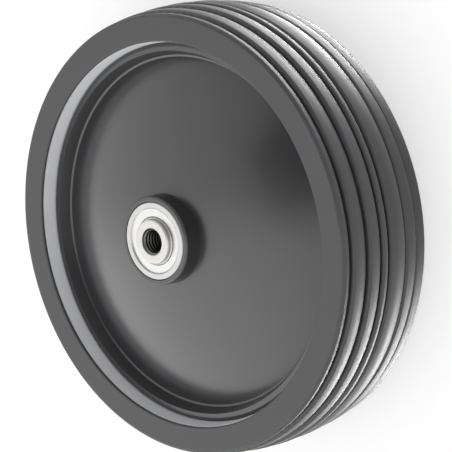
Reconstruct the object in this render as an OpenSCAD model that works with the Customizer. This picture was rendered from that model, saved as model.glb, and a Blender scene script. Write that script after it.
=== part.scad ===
// Wheel for a garden machine: a ribbed rubber tyre on a pale rim, with a domed black hub
// that turns on two shielded ball bearings around a threaded sleeve.
// The wheel lies on the tyre's back face, with its axis along +Z and its boss upwards.

/* [Tyre] */
// Diameter over the crown of the tread
tyre_d = 203; // [198:0.5:215]
// Width over the two side faces
tyre_w = 54; // [52:0.5:60]
// Radius of the crown, seen across the tread
crown_r = 109; // [90:1:160]
// Diameter of the bore that grips the rim
tyre_seat_d = 176.8; // [175.5:0.1:178]
// Thickness of the lip that hooks over each end of the rim
tyre_lip_w = 1.6; // [1.2:0.1:2.4]
// Height of that lip over the end of the rim
tyre_lip_h = 2.1; // [1.6:0.1:2.6]

/* [Tread] */
// Width of the wide groove round the middle of the tread
main_groove_w = 2.2; // [1.5:0.1:4]
// Depth of the wide groove
main_groove_depth = 6; // [4:0.1:7]
// Width of the narrow grooves
groove_w = 0.8; // [0.5:0.05:1.4]
// Depth of the narrow grooves
groove_depth = 2.4; // [2:0.1:3]
// First narrow groove in front of the middle
front_groove_1 = 5.1; // [4.5:0.1:6.5]
// Second narrow groove in front of the middle
front_groove_2 = 13.2; // [12:0.1:15]
// Third narrow groove in front of the middle
front_groove_3 = 22.3; // [20.5:0.1:23]
// First narrow groove behind the middle
back_groove_1 = 11.8; // [10:0.1:13]
// Second narrow groove behind the middle
back_groove_2 = 19.6; // [18.5:0.1:21]
// Radius of the rounded top of each rib
rib_top_r = 12; // [9:0.5:20]
// Rounding of the edges of each rib
rib_edge_r = 1.6; // [0.8:0.1:1.7]

/* [Rim] */
// Wall of the barrel under the tyre
rim_wall = 3.1; // [2.4:0.1:3.6]
// Height of the rib that locks the tyre
lock_rib_h = 3; // [2:0.1:4]
// Width of the rib that locks the tyre
lock_rib_w = 12; // [8:0.5:16]
// Draft of the open ends of the barrel, across the radius
rim_draft = 0.8; // [0.4:0.1:1.2]
// Height of the stop that the hub bottoms on
stop_h = 3.6; // [3:0.1:5]
// Thickness of that stop
stop_w = 3; // [2:0.1:5]
// Depth of the stop from the back face of the tyre
stop_inset = 9; // [7:0.5:12]

/* [Hub] */
// Thickness of the domed disc
disc_wall = 3; // [2.5:0.1:4]
// Depth of the disc's edge below the front face of the tyre
disc_inset = 12.2; // [11:0.1:16]
// Height of the dome from its edge to the foot of the boss
dome_h = 16.6; // [14:0.1:19]
// Depth of the hub's rounded lip below the front face of the tyre
lip_inset = 7.1; // [6:0.1:9]
// Rounding of that lip
lip_r = 1.9; // [1.2:0.1:2.4]
// Width of the top of the lip
lip_w = 3.6; // [3:0.1:4.5]
// How far the inner side of the lip leans in
lip_lean = 2.2; // [1.5:0.1:3]
// Wall of the hub's outer ring
skirt_wall = 3; // [2.5:0.1:4]
// Outer diameter of the boss at its front edge
boss_d = 39.7; // [39:0.1:44]
// Draft of the boss and of the tube behind it, across the radius
boss_draft = 0.25; // [0.1:0.05:0.5]
// Rounding of the front edge of the boss
boss_edge_r = 1; // [0.5:0.1:1.5]
// How far the boss stands in front of the tyre's face
boss_reach = 12.3; // [10:0.1:14]
// Depth of the tube's back end from the back face of the tyre
hub_inset = 6; // [5:0.1:9]
// Outer diameter of the tube at its back end
tube_d = 42.4; // [41:0.1:46]
// Number of stiffening ribs behind the disc
web_count = 8; // [8:1:8]
// Thickness of the ribs
web_t = 2.5; // [2:0.1:4]
// Depth of the ribs' free edges from the back face of the tyre
web_inset = 14; // [12:0.5:20]

/* [Bearings] */
// Outside diameter of a bearing
bearing_d = 35; // [34:0.1:36]
// Bore of a bearing
bearing_bore = 15; // [14.5:0.1:15.5]
// Width of a bearing
bearing_w = 11; // [10.5:0.1:12]
// Diameter of a ball
ball_d = 5.95; // [5.5:0.05:6.2]
// Number of balls in a bearing
ball_count = 8; // [7:1:8]
// Diameter of the inner ring's shoulders
inner_land_d = 21.5; // [21:0.1:22]
// Diameter of the outer ring's shoulders
outer_land_d = 28.6; // [28:0.1:29]
// Chamfer on the edges of the rings
ring_chamfer = 0.5; // [0.3:0.1:0.7]
// Thickness of the sheet of the shields
shield_t = 0.3; // [0.2:0.05:0.4]
// Depth of the shields below the faces of the rings
shield_inset = 0.7; // [0.6:0.05:0.8]
// Gap between a shield and the inner ring
shield_gap = 0.2; // [0.1:0.05:0.4]
// Thickness of the strip of the cage
cage_t = 0.38; // [0.3:0.02:0.45]
// Width of the strip of the cage, across the radius
cage_w = 2.4; // [2:0.1:2.6]
// Gap between a ball and its pocket in the cage
pocket_gap = 0.1; // [0.06:0.01:0.14]
// Diameter of the rivets of the cage
rivet_d = 0.9; // [0.7:0.05:1]

/* [Sleeve] */
// Core diameter of the thread through the sleeve
thread_core_d = 10.2; // [9.8:0.1:10.8]
// Diameter of the countersunk mouth at each end
mouth_d = 12.6; // [12:0.1:13]
// Diameter of the collar that holds the front bearing
collar_d = 19.9; // [18:0.1:20.6]
// Height of the collar
collar_h = 1.6; // [1.2:0.1:2.5]
// Rounding of the front edge of the collar
collar_edge_r = 0.8; // [0.4:0.1:1]
// How far the sleeve runs past the back bearing
tail = 3; // [2.4:0.1:4]
// Wall of the tube that keeps the bearings apart
spacer_wall = 2; // [1.5:0.1:2.6]

/* [Retaining ring] */
// Thickness of the ring
clip_t = 1; // [0.8:0.05:1.2]
// Width of the ring, across the radius
clip_w = 2.2; // [1.8:0.1:2.6]
// Depth of its groove in the sleeve
clip_groove = 0.35; // [0.25:0.05:0.5]
// Width of the gap between its ends
clip_gap = 4; // [3:0.1:5]
// Radius of the ear at each end
clip_ear_r = 1.7; // [1.5:0.1:2]
// Diameter of the hole in each ear
clip_hole_d = 1.7; // [1.4:0.1:1.9]

/* [Hidden] */

// clearance of a seat, and running clearance of a ball in its track
fit = 0.02;
run = 0.03;
// the tracks are this much wider than the balls
track_share = 1.03;
// the edge arcs of a narrow rib take up to this share of half its width
edge_share = 0.8;
// cuts run this far past the faces, and joined pieces this far into each other
over = 1;
// longer than any size of the wheel
far = 300;
// places in the tread are rounded to this step, and its arcs cross by at least a hair
step = 0.01;
hair = 0.8 * step;
function tidy(x) = round(x / step) * step;
$fn = 96;

// tyre and rim
middle = tyre_w / 2;
seat_r = tyre_seat_d / 2;
rim_z0 = tyre_lip_w;
rim_z1 = tyre_w - tyre_lip_w;
rim_in = seat_r - fit - rim_wall;
stop_r = rim_in - stop_h;
lock_half = lock_rib_w / 2;

// hub
front_z = tyre_w + boss_reach;
skirt_r = rim_in - fit;
skirt_z = stop_inset + stop_w;
lip_z = tyre_w - lip_inset;
disc_z = tyre_w - disc_inset;
// small slope between the dome's edge and the foot of the lip
slope_w = 0.9;
slope_h = 0.4;
disc_r = skirt_r - lip_w - lip_lean - slope_w;
boss_z = disc_z + dome_h;
boss_r = boss_d / 2;
boss_foot_r = boss_r + boss_draft;
// the dome is part of a sphere whose centre lies on the axis
dome_c = (pow(boss_foot_r, 2) + pow(boss_z, 2) - pow(disc_r, 2) - pow(disc_z, 2)) / (2 * dome_h);
dome_r = sqrt(pow(boss_foot_r, 2) + pow(boss_z - dome_c, 2));

// bearings
ball_r = ball_d / 2;
track_r = ball_r * track_share;
pitch_r = (bearing_d + bearing_bore) / 4;
ring_out = bearing_d / 2;
ring_in = bearing_bore / 2;
inner_land = inner_land_d / 2;
outer_land = outer_land_d / 2;
half_w = bearing_w / 2;
front_c = front_z - half_w;
rear_c = hub_inset + half_w;
// shoulder that an outer ring is pressed against
shoulder = 2.3;
bore_r = ring_out - shoulder;
// undercut of an outer ring, and the curled edge of the shield that springs into it
undercut = 0.6;
curl_gap = 0.05;
curl_low = 0.2;
curl_high = 0.45;
curl_neck = 0.3;
cage_in = pitch_r - cage_w / 2;
pocket_r = ball_r + pocket_gap;

// sleeve and retaining ring
sleeve_r = ring_in - fit;
core_r = thread_core_d / 2;
mouth_r = mouth_d / 2;
collar_r = collar_d / 2;
// chamfer on the back end of the sleeve
tail_edge = 0.4;
sleeve_z0 = hub_inset - tail;
sleeve_z1 = front_z + collar_h;
clip_z = hub_inset - clip_t - fit;
clip_in = sleeve_r - clip_groove + fit;

// radius of the tread's crown at a height z
function crown(z) = tyre_d / 2 - crown_r + sqrt(pow(crown_r, 2) - pow(z - middle, 2));

// a plain ring in section
module band(r0, r1, z0, z1) {
    translate([r0, z0]) square([r1 - r0, z1 - z0]);
}

// one rib of the tread in section: an arc across its top, and a smaller arc at each edge;
// the edge arcs sit a hair too far out, so that the arcs cross instead of only touching
module rib_section(z0, z1) {
    half = (z1 - z0) / 2;
    mid = (z0 + z1) / 2;
    edge = min(rib_edge_r, half * edge_share);
    turn = asin((half - edge) / (rib_top_r - edge));
    top = tidy(crown(mid)) - rib_top_r;
    reach = rib_top_r * sin(turn);
    edge_x = tidy((rib_top_r - edge) * cos(turn) + hair);
    translate([top, mid]) intersection() {
        circle(r = rib_top_r);
        translate([edge_x - over, -reach]) square([rib_top_r, 2 * reach]);
    }
    for (z = [z0 + edge, z1 - edge]) translate([top + edge_x, z]) circle(r = edge);
    band(seat_r, top + edge_x, z0, z1);
}

// grooves of the tread, from the back face to the front: height, width and depth
grooves = [
    [middle - back_groove_2, groove_w, groove_depth],
    [middle - back_groove_1, groove_w, groove_depth],
    [middle, main_groove_w, main_groove_depth],
    [middle + front_groove_1, groove_w, groove_depth],
    [middle + front_groove_2, groove_w, groove_depth],
    [middle + front_groove_3, groove_w, groove_depth]
];

// lip that hooks over the end of the rim, with a round edge
module tyre_lip(z) {
    round_r = tyre_lip_w / 2;
    tip = seat_r - tyre_lip_h + round_r;
    translate([tip, z + round_r]) circle(r = round_r);
    band(tip, seat_r + over, z, z + tyre_lip_w);
}

module tyre() {
    last = len(grooves) - 1;
    color("#3a3a3c") rotate_extrude() {
        difference() {
            union() {
                for (i = [0 : last + 1]) {
                    z0 = i == 0 ? 0 : grooves[i - 1][0] + grooves[i - 1][1] / 2;
                    z1 = i > last ? tyre_w : grooves[i][0] - grooves[i][1] / 2;
                    rib_section(z0, z1);
                }
                for (g = grooves) band(seat_r, crown(g[0]) - g[2], g[0] - g[1], g[0] + g[1]);
            }
            band(seat_r - over, seat_r + lock_rib_h + fit, middle - lock_half - fit, middle + lock_half + fit);
        }
        tyre_lip(0);
        tyre_lip(tyre_w - tyre_lip_w);
    }
}

module rim() {
    mouth_z0 = stop_inset - over;
    mouth_z1 = lip_z - lip_r;
    color("#c4c5c7") rotate_extrude() {
        difference() {
            union() {
                band(rim_in, seat_r - fit, rim_z0, rim_z1);
                band(rim_in, seat_r + lock_rib_h, middle - lock_half, middle + lock_half);
                band(stop_r, rim_in, stop_inset, skirt_z);
            }
            // drafted mouths of the barrel
            polygon([[rim_in - over, mouth_z1], [rim_in, mouth_z1], [rim_in + rim_draft, rim_z1],
                     [rim_in + rim_draft, rim_z1 + over], [rim_in - over, rim_z1 + over]]);
            polygon([[rim_in - over, mouth_z0], [rim_in, mouth_z0], [rim_in + rim_draft, rim_z0],
                     [rim_in + rim_draft, rim_z0 - over], [rim_in - over, rim_z0 - over]]);
        }
    }
}

// shell of the dome in section, between two radii
module dome_section(r0, r1) {
    intersection() {
        translate([0, dome_c]) difference() {
            circle(r = dome_r, $fn = 360);
            circle(r = dome_r - disc_wall, $fn = 360);
        }
        band(r0, r1, 0, front_z);
    }
}

module hub_section() {
    lip_out = skirt_r - lip_r;
    lip_in = skirt_r - lip_w;
    // outer ring with its rounded lip and its leaning inner side
    band(skirt_r - skirt_wall, skirt_r, skirt_z, lip_z - lip_r);
    translate([lip_out, lip_z - lip_r]) circle(r = lip_r);
    polygon([[disc_r, disc_z], [lip_in - lip_lean, disc_z + slope_h], [lip_in, lip_z], [lip_out, lip_z],
             [lip_out, disc_z - disc_wall], [disc_r, disc_z - disc_wall]]);
    dome_section(boss_foot_r - over, disc_r);
    // tube and boss
    polygon([[bore_r, hub_inset], [tube_d / 2, hub_inset], [boss_foot_r + boss_draft, boss_z - disc_wall],
             [boss_foot_r, boss_z], [boss_r, front_z - boss_edge_r], [boss_r - boss_edge_r, front_z],
             [bore_r, front_z]]);
    translate([boss_r - boss_edge_r, front_z - boss_edge_r]) circle(r = boss_edge_r);
}

// room behind the disc that the ribs fill, in section
module web_section() {
    intersection() {
        translate([0, dome_c]) circle(r = dome_r - disc_wall / 2, $fn = 360);
        band(bore_r + over, skirt_r - skirt_wall / 2, web_inset, boss_z);
    }
}

module hub() {
    color("#2b2b2d") difference() {
        union() {
            rotate_extrude() hub_section();
            intersection() {
                rotate_extrude() web_section();
                for (i = [0 : web_count - 1]) rotate([0, 0, i * 360 / web_count]) {
                    translate([bore_r, -web_t / 2, 0]) cube([skirt_r - bore_r, web_t, front_z]);
                }
            }
        }
        // seats of the two bearings
        translate([0, 0, front_c - half_w]) cylinder(r = ring_out + fit, h = bearing_w + over);
        translate([0, 0, hub_inset - over]) cylinder(r = ring_out + fit, h = bearing_w + over);
        translate([0, 0, hub_inset - over]) cylinder(r = bore_r, h = front_z);
    }
}

// one ring of a bearing in section, about its middle, with chamfered corners
module race_section(r0, r1) {
    c = ring_chamfer;
    polygon([[r0, c - half_w], [r0 + c, -half_w], [r1 - c, -half_w], [r1, c - half_w],
             [r1, half_w - c], [r1 - c, half_w], [r0 + c, half_w], [r0, half_w - c]]);
}

module outer_ring(c) {
    seat_z = half_w - shield_inset - shield_t;
    color("#dcdddb") translate([0, 0, c]) rotate_extrude() difference() {
        race_section(outer_land, ring_out);
        translate([pitch_r + ball_r + run - track_r, 0]) circle(r = track_r);
        for (side = [0, 1]) mirror([0, side]) {
            band(outer_land - over, outer_land + undercut, seat_z - curl_low - curl_gap,
                 seat_z + curl_high + curl_gap);
        }
    }
}

module inner_ring(c) {
    color("#c9cac9") translate([0, 0, c]) rotate_extrude() difference() {
        race_section(ring_in, inner_land);
        translate([pitch_r - ball_r - run + track_r, 0]) circle(r = track_r);
    }
}

// places what it is given once for each ball, starting half a step on where asked
module each_ball(step = 0) {
    for (i = [0 : ball_count - 1]) rotate([0, 0, (i + step) * 360 / ball_count]) {
        translate([pitch_r, 0, 0]) children();
    }
}

module balls(c) {
    color("#e8e9ea") translate([0, 0, c]) each_ball() sphere(r = ball_r);
}

// half of the pressed cage: a strip that bulges over each ball, riveted between them
module cage_half(c, side) {
    color("#b9b49f") translate([0, 0, c]) mirror([0, 0, side > 0 ? 0 : 1]) difference() {
        intersection() {
            rotate_extrude() band(cage_in, cage_in + cage_w, 0, ball_r + over);
            union() {
                each_ball() sphere(r = pocket_r + cage_t);
                cylinder(r = cage_in + cage_w + over, h = cage_t);
            }
        }
        each_ball() sphere(r = pocket_r);
        each_ball(0.5) translate([0, 0, -over]) cylinder(r = rivet_d / 2 + fit, h = cage_t + 2 * over);
    }
}

module cage_rivets(c) {
    head_h = rivet_d / 3;
    head_r = rivet_d * 0.85;
    color("#b9b49f") translate([0, 0, c]) each_ball(0.5) {
        translate([0, 0, -cage_t]) cylinder(d = rivet_d, h = 2 * cage_t);
        for (side = [0, 1]) mirror([0, 0, side]) translate([0, 0, cage_t]) {
            cylinder(r1 = head_r, r2 = rivet_d / 2, h = head_h);
        }
    }
}

// pressed shield, curled into the outer ring and clear of the inner ring
module shield(c, side) {
    top = half_w - shield_inset;
    low = top - shield_t;
    hole_r = inner_land + shield_gap;
    neck_r = outer_land - curl_neck;
    curl_r = outer_land + curl_gap;
    edge_r = outer_land + undercut - curl_gap;
    color("#e3e4e2") translate([0, 0, c]) mirror([0, 0, side > 0 ? 0 : 1]) rotate_extrude() {
        polygon([[hole_r, low], [neck_r, low], [curl_r, low - curl_low], [edge_r, low - curl_low],
                 [edge_r, low + curl_high], [curl_r, low + curl_high], [neck_r, top], [hole_r, top]]);
    }
}

module sleeve() {
    sink = mouth_r - core_r;
    color("#b8b8b6") rotate_extrude() difference() {
        union() {
            polygon([[core_r, sleeve_z0 + sink], [mouth_r, sleeve_z0], [sleeve_r - tail_edge, sleeve_z0],
                     [sleeve_r, sleeve_z0 + tail_edge], [sleeve_r, front_z], [collar_r, front_z],
                     [collar_r, sleeve_z1 - collar_edge_r], [collar_r - collar_edge_r, sleeve_z1],
                     [mouth_r, sleeve_z1], [core_r, sleeve_z1 - sink]]);
            translate([collar_r - collar_edge_r, sleeve_z1 - collar_edge_r]) circle(r = collar_edge_r);
        }
        band(sleeve_r - clip_groove, sleeve_r + over, clip_z - fit, hub_inset);
    }
}

module spacer() {
    color("#9d9e9e") rotate_extrude() {
        band(ring_in, ring_in + spacer_wall, hub_inset + bearing_w, front_z - bearing_w);
    }
}

// spring ring with an ear and a plier hole at each end
module retaining_ring() {
    slim = clip_w / 5;
    ear_y = clip_gap / 2 + clip_ear_r;
    ear_x = sqrt(pow(clip_in + clip_ear_r, 2) - pow(ear_y, 2));
    color("#77787a") translate([0, 0, clip_z]) linear_extrude(clip_t) difference() {
        union() {
            translate([-slim, 0]) circle(r = clip_in + clip_w - slim);
            for (side = [-1, 1]) translate([ear_x, side * ear_y]) circle(r = clip_ear_r);
        }
        circle(r = clip_in);
        translate([0, -clip_gap / 2]) square([far, clip_gap]);
        for (side = [-1, 1]) translate([ear_x, side * ear_y]) circle(d = clip_hole_d);
    }
}

tyre();
rim();
hub();
outer_ring(front_c);  // front_outer_ring
inner_ring(front_c);  // front_inner_ring
balls(front_c);  // front_balls
cage_half(front_c, 1);  // front_cage_outer
cage_half(front_c, -1);  // front_cage_inner
cage_rivets(front_c);  // front_cage_rivets
shield(front_c, 1);  // front_outer_shield
shield(front_c, -1);  // front_inner_shield
outer_ring(rear_c);  // rear_outer_ring
inner_ring(rear_c);  // rear_inner_ring
balls(rear_c);  // rear_balls
cage_half(rear_c, -1);  // rear_cage_outer
cage_half(rear_c, 1);  // rear_cage_inner
cage_rivets(rear_c);  // rear_cage_rivets
shield(rear_c, -1);  // rear_outer_shield
shield(rear_c, 1);  // rear_inner_shield
sleeve();
spacer();
retaining_ring();
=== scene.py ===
"""A ribbed garden machine wheel, lying on the back face of its tyre, dressed for its photograph."""

import math

import bmesh
import bpy
from mathutils import Matrix, Vector

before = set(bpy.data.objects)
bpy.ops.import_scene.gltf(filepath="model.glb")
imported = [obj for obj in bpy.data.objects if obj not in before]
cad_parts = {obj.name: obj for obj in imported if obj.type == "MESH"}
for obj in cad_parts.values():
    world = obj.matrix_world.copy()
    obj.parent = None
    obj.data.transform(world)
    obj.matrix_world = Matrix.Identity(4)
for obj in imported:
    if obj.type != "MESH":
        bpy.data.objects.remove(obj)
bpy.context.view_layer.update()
mm = 0.001


# Camera. It looks down on the lying wheel at the angle of the photograph, with its long lens,
# so that the top of the picture is the wheel's +Y side.
camera = bpy.data.cameras.new("camera")
camera.sensor_width = 36
camera.lens = 183.1
camera.clip_start = 0.05
viewer = bpy.data.objects.new("camera", camera)
bpy.context.scene.collection.objects.link(viewer)
sight = Vector((-0.6923, -0.1178, -0.712)).normalized()
picture_up = Vector((0, 0.9866, -0.163))
picture_right = sight.cross(picture_up).normalized()
picture_up = picture_right.cross(sight)
turned = Matrix((picture_right, picture_up, -sight)).transposed().to_4x4()
station = Vector((0.7197, 0.1212, 0.7606)) + 0.45 * mm * picture_up
viewer.matrix_world = Matrix.Translation(station) @ turned
bpy.context.scene.camera = viewer


# Tyre. One moulded ring of black rubber, given one satin finish on its tread and side faces alike,
# with the faint cloudiness of a mould and a little dust.
class Wire:
    """A value in a material: sums of such values add their own Math nodes."""

    def __init__(self, tree, socket):
        self.tree, self.socket = tree, socket

    def node(self, kind, settings=None, inputs=None, out=0):
        made = self.tree.nodes.new("ShaderNode" + kind)
        for name, value in (settings or {}).items():
            if name == "stops":
                ramp = made.color_ramp.elements
                while len(ramp) < len(value):
                    ramp.new(0.5)
                for stop, (place, colour) in zip(ramp, value):
                    stop.position = place
                    stop.color = (*colour, 1)
            else:
                setattr(made, name, value)
        for name, value in (inputs or {}).items():
            if isinstance(value, Wire):
                self.tree.links.new(value.socket, made.inputs[name])
            else:
                made.inputs[name].default_value = value
        return Wire(self.tree, made.outputs[out])

    def math(self, operation, *values, clamp=False):
        settings = {"operation": operation, "use_clamp": clamp}
        return self.node("Math", settings, dict(enumerate(values)))

    def __add__(self, other):
        return self.math("ADD", self, other)

    def __sub__(self, other):
        return self.math("SUBTRACT", self, other)

    def __mul__(self, other):
        return self.math("MULTIPLY", self, other)

    def __truediv__(self, other):
        return self.math("DIVIDE", self, other)

    def __radd__(self, other):
        return self.math("ADD", other, self)

    def __rsub__(self, other):
        return self.math("SUBTRACT", other, self)

    def __rmul__(self, other):
        return self.math("MULTIPLY", other, self)

    def between(self, low, high):
        """0 at low, 1 at high, with a soft start and end."""
        settings = {"interpolation_type": "SMOOTHSTEP"}
        return self.node("MapRange", settings, {"Value": self, "From Min": low, "From Max": high})

    def dot(self, direction):
        settings = {"operation": "DOT_PRODUCT"}
        return self.node("VectorMath", settings, {0: self, 1: direction}, out="Value")


class Finish:
    """A material with one Principled shader; noise and the place on the wheel are its raw matter."""

    def __init__(self, name, **constants):
        self.material = bpy.data.materials.new(name)
        self.material.use_nodes = True
        tree = self.material.node_tree
        self.shader = tree.nodes["Principled BSDF"]
        for socket, value in constants.items():
            self.shader.inputs[socket.replace("_", " ")].default_value = value
        self.place = Wire(tree, None).node("TexCoord", out="Object")
        across = self.place.node("VectorMath", {"operation": "MULTIPLY"}, {0: self.place, 1: (1, 1, 0)})
        self.radius = across.node("VectorMath", {"operation": "LENGTH"}, {0: across}, out="Value")
        self.height = self.place.node("SeparateXYZ", inputs={0: self.place}, out="Z")

    def noise(self, scale, detail=3, rough=0.5):
        """Cloudy noise from 0 to 1, with about this many blobs in a metre."""
        inputs = {"Vector": self.place, "Scale": scale, "Detail": detail, "Roughness": rough}
        return self.place.node("TexNoise", inputs=inputs, out="Fac")

    def rings(self, scale, detail=2):
        """Noise that changes with the radius only, as the marks of a lathe do."""
        inputs = {"W": self.radius, "Scale": scale, "Detail": detail}
        return self.place.node("TexNoise", {"noise_dimensions": "1D"}, inputs, out="Fac")

    def feed(self, socket, value):
        self.place.tree.links.new(value.socket, self.shader.inputs[socket])

    def mix(self, share, low, high):
        inputs = {"Factor": share, "A": low, "B": high}
        settings = {"data_type": "RGBA"}
        made = self.place.node("Mix", settings)
        node = made.socket.node
        sockets = {"Factor": node.inputs[0], "A": node.inputs[6], "B": node.inputs[7]}
        for name, value in inputs.items():
            if isinstance(value, Wire):
                self.place.tree.links.new(value.socket, sockets[name])
            else:
                sockets[name].default_value = value if name == "Factor" else (*value, 1)
        return Wire(made.tree, node.outputs[2])

    def bump(self, height, distance, strength=1):
        inputs = {"Height": height, "Distance": distance, "Strength": strength}
        self.feed("Normal", self.place.node("Bump", inputs=inputs, out="Normal"))

    def cover(self, *names):
        for name in names:
            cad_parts[name].data.materials.clear()
            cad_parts[name].data.materials.append(self.material)


rubber = Finish("tyre rubber", Specular_IOR_Level=0.5)
cloud = rubber.noise(60, 4)
grain = rubber.noise(2600, 2)
rubber.feed("Base Color", rubber.mix(cloud, (0.029, 0.029, 0.031), (0.043, 0.043, 0.046)))
rubber.feed("Roughness", 0.36 + 0.12 * cloud + 0.08 * grain)
rubber.bump(grain, 0.00003)
rubber.cover("tyre")


# Rim. A pale grey plastic barrel, moulded, whose front edge shows as a band inside the tyre.
pale = Finish("rim plastic")
pale.feed("Base Color", pale.mix(pale.noise(80), (0.64, 0.645, 0.66), (0.7, 0.705, 0.72)))
pale.feed("Roughness", 0.38 + 0.1 * pale.noise(400))
pale.bump(pale.noise(1500), 0.00002)
pale.cover("rim")


# Hub. A domed disc, a boss and a ribbed back in one moulding of glossy black plastic.
# It is polished enough to mirror the boss, with a faint ripple and dust.
gloss = Finish("hub plastic", IOR=1.6, Specular_IOR_Level=0.58)
haze = gloss.noise(45, 4)
gloss.feed("Base Color", gloss.mix(haze, (0.016, 0.016, 0.018), (0.024, 0.024, 0.026)))
gloss.feed("Roughness", 0.2 + 0.1 * haze)
gloss.bump(gloss.noise(120, 1), 0.00004, 0.6)
gloss.cover("hub")


# Bearings. Two ball bearings, pressed into the hub: ground rings of hardened steel, bright
# balls in pressed cages with rivets, and plated sheet shields sprung into the outer rings.
ground = Finish("ring steel", Metallic=1.0)
ground.feed("Base Color", ground.mix(ground.noise(300), (0.38, 0.38, 0.375), (0.46, 0.46, 0.45)))
ground.feed("Roughness", 0.24 + 0.14 * ground.rings(4000))
ground.bump(ground.rings(6000), 0.000004)
polished = Finish("ball steel", Metallic=1.0)
polished.feed("Base Color", polished.mix(polished.noise(900), (0.8, 0.8, 0.81), (0.86, 0.86, 0.87)))
polished.feed("Roughness", 0.05 + 0.06 * polished.noise(1500))
pressed = Finish("cage steel", Metallic=1.0)
pressed.feed("Base Color", pressed.mix(pressed.noise(700), (0.55, 0.53, 0.47), (0.66, 0.64, 0.56)))
pressed.feed("Roughness", 0.3 + 0.2 * pressed.noise(1500))
plated = Finish("shield steel", Metallic=1.0)
plated.feed("Base Color", plated.mix(plated.noise(250), (0.48, 0.48, 0.47), (0.56, 0.56, 0.55)))
plated.feed("Roughness", 0.22 + 0.16 * plated.noise(900))
plated.bump(plated.rings(2500), 0.000006)
for end in ("front", "rear"):
    ground.cover(end + "_outer_ring", end + "_inner_ring")
    polished.cover(end + "_balls")
    pressed.cover(end + "_cage_outer", end + "_cage_inner", end + "_cage_rivets")
    plated.cover(end + "_outer_shield", end + "_inner_shield")


# Sleeve. A turned steel sleeve with a collar, zinc plated, tapped right through: a right-handed
# thread of 1.75 mm pitch is shaded into its plain bore as bumps, and the bore is painted dark as shade,
# darkest between the crests.
turned_steel = Finish("sleeve steel", Metallic=1.0)
along_x = turned_steel.place.node("SeparateXYZ", inputs={0: turned_steel.place}, out="X")
along_y = turned_steel.place.node("SeparateXYZ", inputs={0: turned_steel.place}, out="Y")
lead = turned_steel.height / (1.75 * mm) - along_y.math("ARCTAN2", along_y, along_x) / math.tau
crest = 2 * lead.math("PINGPONG", lead, 0.5)
bore = 1 - turned_steel.radius.between(5.9 * mm, 6.3 * mm)
zinc = turned_steel.mix(turned_steel.noise(500), (0.42, 0.41, 0.385), (0.52, 0.51, 0.48))
# Painted shade: the bore is mixed towards near black, darkest in the thread's roots and a little
# lighter on its crests.
turned_steel.feed("Base Color", turned_steel.mix(bore * (1 - 0.3 * crest), zinc, (0.05, 0.05, 0.045)))
turned_steel.feed("Roughness", 0.24 + 0.16 * turned_steel.rings(3000))
turned_steel.bump(0.01 * turned_steel.rings(5000) + bore * crest, 0.6 * mm)
turned_steel.cover("sleeve", "spacer")


# Retaining ring. A spring steel ring with two plier holes, snapped onto the back of the sleeve.
spring = Finish("spring steel", Metallic=1.0)
spring.feed("Base Color", spring.mix(spring.noise(600), (0.2, 0.2, 0.21), (0.32, 0.32, 0.33)))
spring.feed("Roughness", 0.35 + 0.2 * spring.noise(1500))
spring.cover("retaining_ring")


# Floor and light. A plain pale floor, and a pale room that is brighter on the wheel's -X and
# -Y sides, where the photograph's white table and window were. Three strips of light shine
# up through the floor, which lets shadow rays pass, onto the tread.
floor_mesh = bpy.data.meshes.new("floor")
floor = bpy.data.objects.new("floor", floor_mesh)
bpy.context.scene.collection.objects.link(floor)
plane = bmesh.new()
bmesh.ops.create_grid(plane, x_segments=1, y_segments=1, size=3)
plane.to_mesh(floor_mesh)
plane.free()
white = Finish("floor", Roughness=0.9, Specular_IOR_Level=0.0, Base_Color=(0.93, 0.93, 0.93, 1))
seen = white.place.node("LightPath", out="Is Camera Ray")
bright = white.place.node("Emission", inputs={"Color": (1, 1, 1, 1), "Strength": 1.0}, out="Emission")
blend = white.place.node("MixShader", out="Shader").socket.node
tree = white.material.node_tree
tree.links.new((0.5 * seen).socket, blend.inputs[0])
tree.links.new(white.shader.outputs[0], blend.inputs[1])
tree.links.new(bright.socket, blend.inputs[2])
shade = white.place.node("LightPath", out="Is Shadow Ray")
clear = white.place.node("BsdfTransparent", out="BSDF")
pierced = white.place.node("MixShader", out="Shader").socket.node
tree.links.new(shade.socket, pierced.inputs[0])
tree.links.new(blend.outputs[0], pierced.inputs[1])
tree.links.new(clear.socket, pierced.inputs[2])
tree.links.new(pierced.outputs[0], tree.nodes["Material Output"].inputs["Surface"])
floor_mesh.materials.append(white.material)

world = bpy.data.worlds.new("studio")
bpy.context.scene.world = world
world.use_nodes = True
room = Wire(world.node_tree, None).node("TexCoord", out="Generated")
window = room.dot((-0.83, -0.2, 0.5)).between(0.2, 0.95)
table = room.dot((0.1, -1, 0.05)).between(-0.12, 0.2)
dark = room.dot(Vector((0.05, 0.22, 0.97)).normalized()).between(0.94, 0.99)
above = room.dot((0, 0, 1)).between(-0.02, 0.02)
glow = (0.72 + 0.75 * table + 0.6 * window) * (1 - 0.85 * dark) * above
background = world.node_tree.nodes["Background"]
world.node_tree.links.new(glow.socket, background.inputs["Strength"])
background.inputs["Color"].default_value = (1, 1, 1, 1)

strips = {"far strip": ((0.10, 0.82, -0.56), 3), "low strip": ((-0.125, 0.56, -0.82), 4),
          "near strip": ((0.17, -0.66, -0.73), 4)}
for name, (aim, power) in strips.items():
    lamp = bpy.data.lights.new(name, "AREA")
    lamp.shape = "RECTANGLE"
    lamp.size, lamp.size_y, lamp.energy = 0.5, 0.16, power
    lamp.cycles.use_multiple_importance_sampling = False
    strip = bpy.data.objects.new(name, lamp)
    strip.location = 0.7 * Vector(aim)
    strip.rotation_euler = Vector(aim).to_track_quat("Z", "Y").to_euler()
    bpy.context.scene.collection.objects.link(strip)

scene = bpy.context.scene
scene.view_settings.view_transform = "Standard"
